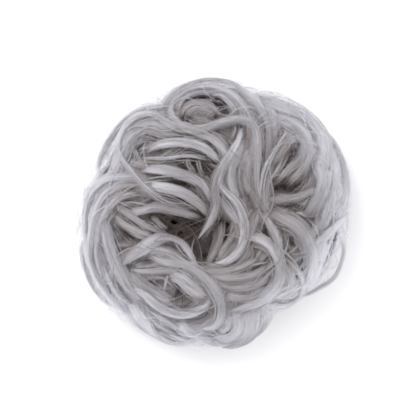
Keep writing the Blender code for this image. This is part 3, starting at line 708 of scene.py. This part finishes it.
def cloth_material(name, colours, roughness, grain):
    """Woven yarn: coloured by its tint, which paints light and shade by the relief on the braid and in the
    tape's creases, with a fine grain.
    """
    made = hair_material(name, colours, roughness)
    place = made.node_tree.nodes.new("ShaderNodeTexCoord")
    add_grain(made, place.outputs["Object"], grain, 4.0, 0.6)
    return made


def plain_material(name, colour, roughness):
    """A material of one colour."""
    made = bpy.data.materials.new(name)
    made.use_nodes = True
    shader = made.node_tree.nodes["Principled BSDF"]
    shader.inputs["Base Color"].default_value = (*colour, 1)
    shader.inputs["Roughness"].default_value = roughness
    return made


SILVER = [
    (0.0, 0.036, 0.020, 0.018),
    (0.25, 0.194, 0.169, 0.171),
    (0.5, 0.357, 0.346, 0.371),
    (0.75, 0.514, 0.506, 0.547),
    (1.0, 0.715, 0.71, 0.765),
]
silver = hair_material("silver_strands", SILVER, 0.46)
close_hair = streaked_material("close_hair", SILVER, 0.55)


# The locks on top

chance = np.random.default_rng(11)
relief = Relief()
laid = lay_locks(relief)
bodies = Strands("lock_bodies")
HIGH_LIFT = 2.6
# The locks that lie highest get painted light and the lower ones painted shade
HIGH_PAINTED_LIGHT, LOW_PAINTED_SHADE = 0.85, -0.65
HIGH_WIDTH = 0.92
for name, locks in TOP_LOCKS.items():
    strands = Strands(name)
    for index, lock in enumerate(locks):
        high = lock.lift > HIGH_LIFT
        pale = lock.pale + (HIGH_PAINTED_LIGHT if high else LOW_PAINTED_SHADE)
        width = lock.width * PIXEL * (HIGH_WIDTH if high else 1.0)
        fringe, splay = (0.08, 0.15) if high else (0.30, 0.5)
        add_lock(
            strands, bodies, laid[name, index], width, chance, pale, gather=(lock.root, lock.tip),
            fringe=fringe, splay=splay, upright=UPRIGHT,
        )
    strands.piece(silver)


# Single strands that leave the locks and lie over their neighbours

SPILLS_PER_MM = 0.45
SPILL_PLACES = 13
SPILL_TINT = 0.43
HAIR_REACH = 0.0004


def resting(flat, over):
    """A line that lies over the locks on top."""
    return np.column_stack([flat, taut(relief.under(flat, HAIR_REACH)) + over])


def add_spills(strands, path, width, chance):
    """Adds the single strands that leave one lock."""
    across, _ = frames(path)
    for _ in range(round(path_length(path) * 1000 * SPILLS_PER_MM)):
        first = chance.uniform(0, 0.55)
        share = np.linspace(first, min(1, first + chance.uniform(0.3, 0.7)), SPILL_PLACES)
        pick = (share * (len(path) - 1)).round().astype(int)
        bow = np.linspace(-0.6, 1, SPILL_PLACES) ** 2
        off = width * (chance.normal(0, 0.45) + chance.normal(0, 0.7) * bow)
        flat = (path[pick] + across[pick] * off[:, None])[:, :2]
        if rim_share(flat).max() > 1:
            continue
        line = resting(flat, chance.uniform(0.0002, 0.0006))
        tint = SPILL_TINT + chance.normal(0, 0.06) + painted_light_and_shade(line)
        radii = STRAND_RADIUS * chance.uniform(0.6, 1.0) * tapered(share - share[0], share[-1] - share, 0.1)
        strands.add_ribbons(line[None], across[pick][None], radii[None], tint[None])


LEAST_SPILL_PIXELS = 5
strands = Strands("spilled_strands")
for (name, index), path in laid.items():
    add_spills(strands, path, max(TOP_LOCKS[name][index].width, LEAST_SPILL_PIXELS) * PIXEL, chance)
strands.piece(silver)


# The layers under them, which close the gaps: sheets of close hair, locks, then thin wisps

SHEETS = 110
FILLER_LOCKS = 70
WISPS = 200
TOP_WISP_EVERY = 6
EYE_WISPS = 18
POCKET_WISPS = 0.045
POCKET_WISP_PLACES = 5
WISP_DEPTH = 0.0006
WISP_DROP = 0.0034
POCKET_SINK = 0.0022
MOST_TURN = 0.13
FLOW_STEPS = 24
FLOW_REACH = 0.93
FLOW_EDGE, FLOW_SOFT = 0.8, 0.18


def flow_of_locks():
    """Where the locks on top run, as (x, y, heading)."""
    rows = []
    for path in laid.values():
        way = np.gradient(path[::3], axis=0)
        rows.append(np.column_stack([path[::3, :2], np.arctan2(way[:, 1], way[:, 0])]))
    return np.concatenate(rows)


def flow_line(chance, length, lean=0.0, most_pocket=1.0):
    """A line seen from above that runs with the locks near it, or leans off them, or None if it lies
    over a pocket."""
    place = np.array((2.0, 2.0))
    while np.hypot(*place) > 1:
        place = chance.uniform(-1, 1, 2)
    place = place * FLOW_REACH * BUN_RADIUS
    heading = chance.uniform(0, 2 * np.pi)
    line = []
    for count in range(FLOW_STEPS):
        near = FLOW[np.argmin(np.hypot(FLOW[:, 0] - place[0], FLOW[:, 1] - place[1]))]
        turn = (near[2] + lean - heading + np.pi / 2) % np.pi - np.pi / 2
        heading += np.clip(0.3 * turn, -MOST_TURN, MOST_TURN) if count else turn
        place = place + length / FLOW_STEPS * np.array((math.cos(heading), math.sin(heading)))
        line.append(place)
    line = np.array(line)
    far = rim_share(line)
    near_edge = FLOW_EDGE + FLOW_SOFT * np.tanh((far - FLOW_EDGE) / FLOW_SOFT)
    line *= (np.where(far > FLOW_EDGE, near_edge, far) / far)[:, None]
    return None if pocket_at(line[:, 0], line[:, 1]).max() > most_pocket else line


def sunk(flat, depth):
    """A line on the round, depth under the first layer of locks, and deeper in a pocket."""
    height = crown_height(flat[:, 0], flat[:, 1]) - depth - POCKET_SINK * pocket_at(flat[:, 0], flat[:, 1])
    return smooth_path(np.column_stack([flat, height]))


def eye_wisp(chance):
    """A line that curls round the eye, deeper the nearer it comes to the middle of it."""
    share = np.linspace(0, 1, FLOW_STEPS)
    turned = chance.uniform(0, 2 * np.pi) + chance.choice((-1, 1)) * chance.uniform(1.0, 2.6) * share
    out = chance.uniform(0.85, 1.5) + chance.uniform(-0.3, 0.5) * share
    wide, tall = EYE_SIZE[0], EYE_SIZE[1] * 1.2
    flat = np.stack([wide * out * np.cos(turned), tall * out * np.sin(turned)], -1) + EYE_PLACE
    return sunk(flat, 0.0125 - 0.0072 * out)


def pocket_wisp(chance, pocket):
    """A line that crosses a pocket, and how low it lies there, from 0 to 1."""
    heading = chance.uniform(0, np.pi)
    cos, sin = math.cos(heading), math.sin(heading)
    off = chance.uniform(-0.9, 0.9, 2)
    reach = chance.uniform(0.9, 1.7) * math.hypot(pocket.wide * cos, pocket.tall * sin)
    bend = chance.uniform(-1.1, 1.1)
    share = np.linspace(-1, 1, POCKET_WISP_PLACES)
    px = pocket.px + off[0] * pocket.wide + (reach + 8) * share * cos + bend * reach * share**2 * sin
    py = pocket.py + off[1] * pocket.tall - (reach + 8) * share * sin + bend * reach * share**2 * cos
    low = chance.random() ** 0.6
    places = list(zip(px, py))
    return seen_path(places, lambda flat: crown_height(*flat.T) - WISP_DEPTH - WISP_DROP * low), low


FLOW = flow_of_locks()
strands = Strands("under_locks")
for index in range(SHEETS):
    flat = flow_line(chance, chance.uniform(0.025, 0.045), chance.normal(0, 0.2), 0.25)
    if flat is not None:
        path = sunk(flat, chance.uniform(0.0008, 0.0026))
        half = chance.uniform(0.0030, 0.0045)
        # The sheets are tinted dark, as painted shade under the locks
        tint = chance.uniform(0.26, 0.36)
        add_body(bodies, path, *frames(path), half, 0.0006 / half, (0.6, 0.6), tint, chance)
for index in range(FILLER_LOCKS):
    flat = flow_line(chance, chance.uniform(0.030, 0.055), chance.normal(0, 0.3), 0.6)
    if flat is not None:
        path = sunk(flat, chance.uniform(-0.0002, 0.0014))
        width = chance.uniform(0.004, 0.007)
        # The filler locks are painted darker, as shade under the locks on top
        add_lock(
            strands, bodies, path, width, chance, -1.0, fill=0.40, step=COARSE_STEP,
            gather=(0.9, 0.9), fringe=0.5, splay=0.9,
        )
strands.piece(silver)

strands = Strands("wisps")
for index in range(WISPS):
    on_top = index % TOP_WISP_EVERY == 0
    flat = flow_line(chance, chance.uniform(0.020, 0.050), chance.normal(0, 0.25 if on_top else 0.6))
    if flat is None:
        continue
    width = chance.uniform(0.0005, 0.0015)
    if on_top:
        path = smooth_path(resting(flat, 0.0003))
        add_lock(strands, bodies, path, width * 0.3, chance, -0.2, fill=0.3, loose=0.5)
    else:
        path = sunk(flat, chance.uniform(0, 0.0030))
        # Sunk wisps are painted darker, as shade
        add_lock(strands, bodies, path, width, chance, -0.8, fill=0.4, loose=0.5)
for index in range(EYE_WISPS):
    path = eye_wisp(chance)
    # Painted dark, as shade in the eye
    add_lock(strands, bodies, path, chance.uniform(0.0006, 0.0014), chance, -1.8, fill=0.4, loose=0.6)
strands.piece(silver)

strands = Strands("pocket_wisps")
for pocket in POCKETS:
    for index in range(2 + round(POCKET_WISPS * pocket.wide * pocket.tall)):
        path, low = pocket_wisp(chance, pocket)
        width = chance.uniform(0.0005, 0.0012)
        # The lower a wisp lies in its pocket, the darker it is painted, as shade
        pale = -0.6 - 2.4 * low
        add_lock(strands, bodies, path, width, chance, pale, fill=0.28, gather=(0.8, 0.6), loose=0.6)
strands.piece(silver)


# Loose hairs that stand out from the edge

FLYAWAYS = 1300
FLYAWAY_PLACES = 8
FLYAWAY_TINT = 0.60
strands = Strands("flyaways")
for index in range(FLYAWAYS):
    angle = chance.normal(1.0, 0.9) if index % 3 == 0 else chance.uniform(0, 2 * np.pi)
    share = np.linspace(0, 1, FLYAWAY_PLACES)
    around = angle + chance.choice((-1, 1)) * chance.uniform(0.08, 0.35) * share
    up = np.radians(chance.uniform(-35, 60) + chance.uniform(-30, 30) * share)
    depth = 0.0012 - chance.uniform(0.0005, 0.0060) * np.sin(np.pi * share ** chance.uniform(0.7, 1.5))
    path = side_place(around, up, depth)
    across, out = frames(path)
    roll = chance.uniform(0, np.pi)
    tint = FLYAWAY_TINT + painted_light_and_shade(path) + chance.normal(0, 0.1)
    radii = STRAND_RADIUS * chance.uniform(0.5, 0.9) * tapered(share, 1 - share, 0.1)
    sideways = across * math.cos(roll) + out * math.sin(roll)
    strands.add_ribbons(path[None], sideways[None], radii[None], tint[None])
strands.piece(silver)


# Locks on the side

SIDE_LOCKS = 124
SIDE_SHEETS = 56
SIDE_DEPTHS = (0.0040, 0.0022)
SIDE_PLACES = 48
CURL_SHARE = 0.4
CURL_TALL = 0.028
SIDE_LOW, SIDE_HIGH = math.radians(-80), math.radians(72)


def spaced(chance, index, count, slack=0.4):
    """The angle of one of count places round the middle, a little off its even place."""
    return 2 * np.pi * (index + chance.uniform(-slack, slack)) / count


def side_path(chance, index, count, depth):
    """A curl, or a waving lock that leans as its neighbours do, on the side."""
    angle = spaced(chance, index, count)
    share = np.linspace(0, 1, SIDE_PLACES)
    start = chance.uniform(0, 2 * np.pi)
    turns = start + chance.choice((-1, 1)) * share * math.radians(chance.uniform(180, 320))
    if chance.random() < CURL_SHARE:
        size = chance.uniform(0.007, 0.014) * (1 + chance.uniform(-0.4, 0.4) * share)
        around = angle + size * np.cos(turns) / BUN_RADIUS
        up = math.radians(chance.uniform(-30, 40)) + size * np.sin(turns) / CURL_TALL
    else:
        lean = math.sin(3 * angle + 1.0) + 0.7 * math.sin(5 * angle) + chance.normal(0, 0.3)
        around = angle + chance.uniform(0.5, 1.0) * (share - 0.5)
        up = math.radians(chance.uniform(-35, 40)) + math.radians(70) * lean * (share - 0.5)
        up += math.radians(chance.uniform(8, 20)) * np.sin(turns)
    middle, half = (SIDE_LOW + SIDE_HIGH) / 2, (SIDE_HIGH - SIDE_LOW) / 2
    return even_path(side_place(around, middle + half * np.tanh((up - middle) / half), depth))


bodies.piece(close_hair)
bodies = Strands("side_bodies")
for index in range(SIDE_SHEETS):
    path = side_path(chance, index, SIDE_SHEETS, chance.uniform(0.0042, 0.0056))
    half = chance.uniform(0.0035, 0.0055)
    # Tinted dark, as painted shade under the side locks
    tint = chance.uniform(0.30, 0.38)
    add_body(bodies, path, *frames(path), half, 0.0007 / half, (0.7, 0.7), tint, chance)

for layer, layer_depth in enumerate(SIDE_DEPTHS, 1):
    strands = Strands(f"side_locks_{layer}")
    count = SIDE_LOCKS // len(SIDE_DEPTHS)
    for index in range(count):
        path = side_path(chance, index, count, layer_depth + chance.uniform(-0.0012, 0.0010))
        width = chance.uniform(0.004, 0.0080)
        pale = chance.uniform(-0.9, 0.2)
        add_lock(strands, bodies, path, width, chance, pale, fill=0.36, step=COARSE_STEP)
    strands.piece(silver)


# Thin arcs outside the mass, which let light through

RIM_ARCS = 90
ARC_PLACES = 40
ARC_STEP = 0.0042
strands = Strands("rim_arcs")
for index in range(RIM_ARCS):
    angle = spaced(chance, index, RIM_ARCS)
    share = np.linspace(0, 1, ARC_PLACES)
    around = angle + chance.choice((-1, 1)) * chance.uniform(0.35, 0.8) * share
    up = math.radians(chance.uniform(5, 50)) + math.radians(chance.uniform(-25, 25)) * (share - 0.5)
    depth = 0.0024 - chance.uniform(0.0005, 0.0040) * np.sin(np.pi * share)
    path = even_path(side_place(around, up, depth))
    width = chance.uniform(0.0015, 0.0050)
    # The arcs are painted paler, as light passing through thin hair
    pale = chance.uniform(0.3, 1.2)
    add_lock(strands, None, path, width, chance, pale, fill=0.22, step=ARC_STEP, loose=0.4, splay=0.8)
strands.piece(silver)


# The underside, from the weft out

UNDER_LOCKS = 72
UNDER_STEP = 0.0046
# How far out on the underside, the radius and the height
UNDER_ROWS = (
    (0, 0.0272, 0.0034),
    (0.2, 0.0330, 0.0014),
    (0.45, 0.0400, 0.0014),
    (0.7, 0.0485, 0.0042),
    (1, 0.0570, 0.0100),
)
strands = Strands("underside_locks")
for index in range(UNDER_LOCKS):
    angle = spaced(chance, index, UNDER_LOCKS)
    sweep = (1 if chance.random() < 0.8 else -0.7) * math.radians(chance.uniform(35, 80))
    bow = math.radians(chance.uniform(-9, 9))
    level = chance.uniform(0, 0.0012)
    rows = []
    for share, radius, height in UNDER_ROWS:
        turned = angle + sweep * share**1.3 + bow * math.sin(2 * math.pi * share)
        reach = radius * (1 + (outline_at(turned) - 1) * share)
        rows.append((reach * math.cos(turned), reach * math.sin(turned), height + level))
    width = chance.uniform(0.004, 0.007)
    path = smooth_path(rows)
    add_lock(strands, bodies, path, width, chance, -0.4, fill=0.30, gather=(0.35, 0.7), step=UNDER_STEP)
strands.piece(silver)


def swept(rows, angle, sweep):
    """A line through rows of (radius, height), turned by sweep from each row to the next."""
    line = []
    for row, (radius, height) in enumerate(rows):
        turned = angle + sweep * row
        line.append((radius * math.cos(turned), radius * math.sin(turned), height))
    return smooth_path(line)


ROOT_LOCKS = 48
ROOT_STEP = 0.0022
# The radius and the height
ROOT_ROWS = ((0.0276, 0.0030), (0.0300, 0.0016), (0.0345, 0.0012), (0.0400, 0.0014), (0.0455, 0.0028))
strands = Strands("weft_hair")
for index in range(ROOT_LOCKS):
    angle = spaced(chance, index, ROOT_LOCKS, 0.3)
    path = swept(ROOT_ROWS, angle, math.radians(chance.uniform(6, 12)))
    width = chance.uniform(0.0040, 0.0055)
    add_lock(
        strands, None, path, width, chance, -0.6, fill=0.34, gather=(0.7, 0.5), step=ROOT_STEP, splay=0.4
    )
strands.piece(silver)


# Hair round the hollow, from the top of the weft to the middle of the dome, but not over the eye

HOLLOW_LOCKS = 44
HOLLOW_STEP = 0.0042
HOLLOW_HEART = np.array((0, 0, 0.010))
# The radius and the height
HOLLOW_ROWS = (
    (0.0220, 0.0112),
    (0.0207, 0.0155),
    (0.0203, 0.0198),
    (0.0180, 0.0242),
    (0.0125, 0.0272),
    (0.0050, 0.0284),
    (-0.0030, 0.0282),
)
EYE_START = 0.021
FEWEST_PLACES = 6
strands = Strands("hollow_locks")
for index in range(HOLLOW_LOCKS):
    angle = spaced(chance, index, HOLLOW_LOCKS)
    path = swept(HOLLOW_ROWS, angle, math.radians(chance.uniform(12, 26)))
    eye = np.hypot((path[:, 0] - EYE_PLACE[0]) / EYE_SIZE[0], (path[:, 1] - EYE_PLACE[1]) / EYE_SIZE[1])
    over_eye = (eye < 0.9) & (path[:, 2] > EYE_START)
    if over_eye.any():
        path = path[: np.argmax(over_eye)]
    if len(path) > FEWEST_PLACES:
        width = chance.uniform(0.0030, 0.0050)
        # Painted dark, as shade inside the hollow
        add_lock(
            strands, bodies, path, width, chance, -1.5, fill=0.3, gather=(0.8, 0.4), heart=HOLLOW_HEART,
            step=HOLLOW_STEP,
        )
strands.piece(silver)
bodies.piece(close_hair)


# Packed hair under the locks

PACKED_DEPTH = 0.0030
PACKED_SIDE_DEPTH = PACKED_DEPTH + 0.0010
PACKED_FLOOR = 0.0035
PACKED_GAP = 0.0004
PACKED_REACH = 0.042
PACKED_LEDGE = 0.0105
# The packed hair is tinted dark, as painted shade under the locks
PACKED_PAINTED_SHADE_TINT = 0.27
PACKED_TURNS = 144
POCKET_DEPTH = 0.0035
POCKET_START = 0.032
SIDE_ANGLES = (-50, -25, 0, 15, 30, 40, 50, 57, 64, 71, 78, 84, 90)
DOME_SHARES = (0.0, 0.3, 0.6, 0.85, 1.0)


def mesh_from(made, name):
    """Makes a mesh of an edited one, and frees that."""
    mesh = bpy.data.meshes.new(name)
    made.to_mesh(mesh)
    made.free()
    return mesh


def turned_mesh(name, profile, steps):
    """A mesh turned from a closed profile of (radius, height)."""
    made = bmesh.new()
    places = [made.verts.new((radius, 0, height)) for radius, height in profile]
    edges = [made.edges.new(pair) for pair in zip(places, places[1:] + places[:1])]
    bmesh.ops.spin(
        made, geom=places + edges, axis=(0, 0, 1), cent=(0, 0, 0), steps=steps, angle=math.tau,
        use_merge=True,
    )
    bmesh.ops.remove_doubles(made, verts=made.verts, dist=TINY)
    bmesh.ops.recalc_face_normals(made, faces=made.faces)
    return mesh_from(made, name)


def oval_cutter():
    """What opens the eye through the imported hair."""
    made = bmesh.new()
    bmesh.ops.create_cone(made, cap_ends=True, segments=32, radius1=1, radius2=1, depth=0.06)
    bmesh.ops.scale(made, verts=made.verts, vec=(*EYE_SIZE, 1))
    bmesh.ops.rotate(made, verts=made.verts, matrix=Matrix.Rotation(math.radians(EYE_TURN_DEG), 3, "Z"))
    bmesh.ops.translate(made, verts=made.verts, vec=(*EYE_PLACE, 0.045))
    return bpy.data.objects.new("eye_cutter", mesh_from(made, "eye_cutter"))


def packed_profile():
    """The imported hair's section: the floor, the side, the crown, the dome and the wall of the hollow."""
    profile = [(WEFT_OUTER + PACKED_GAP, PACKED_FLOOR), (PACKED_REACH, PACKED_FLOOR)]
    for angle in SIDE_ANGLES:
        up = math.radians(angle)
        tall = (CREST_HEIGHT if angle > 0 else 2 * RIM_HEIGHT) - RIM_HEIGHT - PACKED_SIDE_DEPTH
        reach = BUN_RADIUS - PACKED_SIDE_DEPTH - CREST_RADIUS
        profile.append((CREST_RADIUS + reach * math.cos(up), RIM_HEIGHT + tall * math.sin(up)))
    for share in np.linspace(0.96, 0, 25):
        radius = CREST_RADIUS * share
        profile.append((radius, float(crown_height(np.array(radius), np.array(0.0))) - PACKED_DEPTH))
    for share in DOME_SHARES:
        angle = math.pi / 2 * (1 - share)
        profile.append((HOLLOW_RADIUS * math.cos(angle), HOLLOW_HEIGHT * (0.7 + 0.3 * math.sin(angle))))
    return profile + [(HOLLOW_RADIUS, PACKED_LEDGE), (WEFT_OUTER + PACKED_GAP, PACKED_LEDGE)]


def cut_eye(mesh):
    """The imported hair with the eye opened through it."""
    whole = bpy.data.objects.new("packed_hair", mesh)
    eye = oval_cutter()
    for part in (whole, eye):
        bpy.context.scene.collection.objects.link(part)
    cut = whole.modifiers.new("eye", "BOOLEAN")
    cut.object = eye
    cut.solver = "EXACT"
    graph = bpy.context.evaluated_depsgraph_get()
    mesh = bpy.data.meshes.new_from_object(whole.evaluated_get(graph))
    for part in (whole, eye):
        bpy.data.objects.remove(part)
    return mesh


def packed_hair():
    """Turned hair, fitted to the outline, pressed in at the pockets and opened at the eye."""
    mesh = turned_mesh("packed_hair", packed_profile(), PACKED_TURNS)
    for corner in mesh.vertices:
        angle = math.atan2(corner.co.y, corner.co.x)
        radius = math.hypot(corner.co.x, corner.co.y)
        inside = min(1, max(0, (radius - CREST_RADIUS) / (BUN_RADIUS - CREST_RADIUS)))
        scale = 1 + (float(outline_at(angle)) - 1) * inside
        corner.co.x *= scale
        corner.co.y *= scale
        if corner.co.z > POCKET_START:
            corner.co.z -= POCKET_DEPTH * float(pocket_at(corner.co.x, corner.co.y))
    mesh = cut_eye(mesh)
    places = np.array([corner.co for corner in mesh.vertices])
    # Painted shade under the locks, with the rim's painted light reaching a little further in
    tints = PACKED_PAINTED_SHADE_TINT + painted_light_and_shade(places * (1.1, 1.1, 1))
    angle = np.arctan2(places[:, 1], places[:, 0])
    across = np.hypot(places[:, 0], places[:, 1]) + 0.006 * np.sin(3 * angle) + 0.5 * places[:, 2]
    paint(mesh, np.clip(tints, 0, 1), np.column_stack([across, 0.05 * angle, 0 * angle]))
    return dress("packed_hair", mesh, close_hair, "hair_locks")


packed_hair()


# The elastic loop, the weft track and the thread that ties them

THREAD = 0.00018
WHIP_STITCHES = 30
WHIP_PLACES = 25
WHIP_RADIUS = 0.0211
WHIP_REACH = 0.0032
WHIP_TALL = 0.0028
WHIP_SLANT = 0.035
ZIGZAGS = 84
ZIGZAG_RADII = (0.0240, 0.0266)
ZIGZAG_HEIGHT = 0.0003
ZIGZAG_STEP = 0.0006
RIBS = 64
FOLDS = 6
COVER_AROUND, COVER_SECTION = 448, 20
TAPE_AROUND, TAPE_SECTION = 160, 48
TAPE_FLOOR = 0.0004
CREASE_DEPTH = 0.00012
YARN = [(0, 0.010, 0.010, 0.011), (0.6, 0.030, 0.029, 0.031), (1, 0.075, 0.073, 0.077)]
TAPE = [(0, 0.08, 0.076, 0.078), (0.5, 0.20, 0.19, 0.20), (1, 0.36, 0.35, 0.37)]
THREAD_GREYS = [(0, 0.2, 0.19, 0.2), (1, 0.62, 0.61, 0.63)]


def ring_mesh(name, radii, heights, tints):
    """A closed ring mesh. radii, heights and tints are (place around, place in the section)."""
    around, places = radii.shape
    angle = whole_turn(around)
    corners = np.stack([radii * np.cos(angle)[:, None], radii * np.sin(angle)[:, None], heights], -1)
    corner = np.arange(around * places).reshape(around, places)
    beyond, beside = np.roll(corner, -1, axis=0), np.roll(corner, -1, axis=1)
    quads = np.stack([corner, beyond, np.roll(beyond, -1, axis=1), beside], -1).reshape(-1, 4)
    mesh = bpy.data.meshes.new(name)
    mesh.from_pydata(corners.reshape(-1, 3).tolist(), [], quads.tolist())
    mesh.polygons.foreach_set("use_smooth", np.ones(len(quads), bool))
    paint(mesh, tints)
    return mesh


def elastic_cover():
    """A round braid: two sets of yarns that wind opposite ways."""
    around, section = np.meshgrid(whole_turn(COVER_AROUND), whole_turn(COVER_SECTION), indexing="ij")
    ridge = np.maximum(np.sin(RIBS * around + 3 * section), np.sin(RIBS * around - 3 * section))
    size = ELASTIC_CORD / 2 * (0.95 + 0.05 * ridge)
    height = ELASTIC_REST + ELASTIC_CORD / 2 + size * np.sin(section)
    # The tint is lighter on the raised yarns and darker in the grooves, as painted light and shade
    mesh = ring_mesh("elastic_cover", ELASTIC_RADIUS + size * np.cos(section), height, 0.5 + 0.5 * ridge)
    return dress("elastic_cover", mesh, cloth_material("elastic_yarn", YARN, 0.7, 900), "elastic_band")


def rounded(wave):
    """A circle's cosine or sine, brought to the rounded square of the tape's section."""
    return np.sign(wave) * np.abs(wave) ** 0.35


def weft_track():
    """The folded tape that the hair is sewn to, with its edges rounded and its folds pressed in."""
    turned = 2 * np.pi * (np.arange(TAPE_SECTION) / TAPE_SECTION)
    middle, half = (WEFT_INNER + WEFT_OUTER) / 2, (WEFT_OUTER - WEFT_INNER) / 2
    heights = TAPE_FLOOR + (WEFT_HEIGHT - TAPE_FLOOR) * (0.5 + 0.5 * rounded(np.sin(turned)))
    fold = 0.5 + 0.5 * np.cos(FOLDS * 2 * np.pi * heights / WEFT_HEIGHT)
    angle = whole_turn(TAPE_AROUND)[:, None]
    crease = CREASE_DEPTH * np.sin(37 * angle) * np.sin(23 * angle + 2)
    radii = middle + half * rounded(np.cos(turned)) * (1 - 0.10 * fold) + crease
    # The creases are tinted darker where pressed in and lighter where they stand out, as painted shade and
    # light
    tints = 0.35 + 0.35 * fold + 0 * angle + 900 * crease
    mesh = ring_mesh("weft_track", radii, heights + 0 * angle, tints)
    return dress("weft_track", mesh, cloth_material("weft_tape", TAPE, 0.8, 1400), "weft_ring")


def thread_path(points):
    """A closed line of thread with its two sideways directions."""
    along = unit(np.roll(points, -1, axis=0) - np.roll(points, 1, axis=0))
    across = unit(np.cross(along, (0.31, 0.52, 0.79)))
    return points, across, np.cross(across, along)


def stitches():
    """The zigzag seam round the bottom of the tape, and the thread that ties it to the loop."""
    threads = Strands("stitches")
    angle = np.arange(ZIGZAGS * 2 + 1) * np.pi / ZIGZAGS
    radius = np.where(np.arange(len(angle)) % 2, *ZIGZAG_RADII)
    line = np.stack([radius * np.cos(angle), radius * np.sin(angle), 0 * angle + ZIGZAG_HEIGHT], -1)
    fine = smooth_path(line, ZIGZAG_STEP)
    threads.add_tube(*thread_path(fine), np.full(len(fine), THREAD), np.full(len(fine), 0.8), 4)
    turned = np.linspace(0, 2 * np.pi, WHIP_PLACES)
    radius = WHIP_RADIUS + WHIP_REACH * np.cos(turned)
    height = ELASTIC_REST + ELASTIC_CORD / 2 + WHIP_TALL * np.sin(turned)
    for index in range(WHIP_STITCHES):
        slant = WHIP_SLANT * np.cos(turned) + spaced(chance, index, WHIP_STITCHES, 0.15)
        loop = np.stack([radius * np.cos(slant), radius * np.sin(slant), height], -1)
        radii = np.full(WHIP_PLACES, THREAD * 1.3)
        threads.add_tube(*thread_path(loop), radii, np.full(WHIP_PLACES, 0.75), 5)
    return threads.piece(thread_yarn, "weft_ring")


thread_yarn = cloth_material("thread_yarn", THREAD_GREYS, 0.6, 2500)
elastic_cover()
weft_track()
stitches()


# Floor, light and camera

FLOOR_SIZE = 6
DAYLIGHT = 1.18
bpy.ops.mesh.primitive_plane_add(size=FLOOR_SIZE, location=(0, 0, 0))
floor = bpy.context.object
floor.name = "floor"
floor.data.materials.append(plain_material("white_floor", (0.95, 0.945, 0.97), 0.9))

world = bpy.data.worlds.new("studio") if bpy.context.scene.world is None else bpy.context.scene.world
bpy.context.scene.world = world
world.use_nodes = True
world.node_tree.nodes["Background"].inputs["Color"].default_value = (1, 1, 1, 1)
world.node_tree.nodes["Background"].inputs["Strength"].default_value = DAYLIGHT

KeyLight = namedtuple("KeyLight", "name place size watts")
for row in (KeyLight("key", (-0.75, 0.85, 1.3), 1.0, 13), KeyLight("fill", (0.9, -0.5, 1.5), 1.2, 3)):
    lamp = bpy.data.lights.new(row.name, "AREA")
    lamp.size = row.size
    lamp.energy = row.watts
    light = bpy.data.objects.new(row.name, lamp)
    light.location = row.place
    direction = -light.location.normalized()
    light.rotation_euler = direction.to_track_quat("-Z", "Y").to_euler()
    bpy.context.scene.collection.objects.link(light)

lens = bpy.data.cameras.new("camera")
camera = bpy.data.objects.new("camera", lens)
bpy.context.scene.collection.objects.link(camera)
camera.location = (*CAMERA_PLACE, CAMERA_DISTANCE)
lens.angle = 2 * math.atan(PHOTO_SIZE * PIXEL / 2 / (CAMERA_DISTANCE - RIM_HEIGHT))
bpy.context.scene.camera = camera
bpy.context.scene.view_settings.view_transform = "Standard"
# The photograph is soft, so the picture is filtered a little more than by default
bpy.context.scene.cycles.filter_width = 2.0
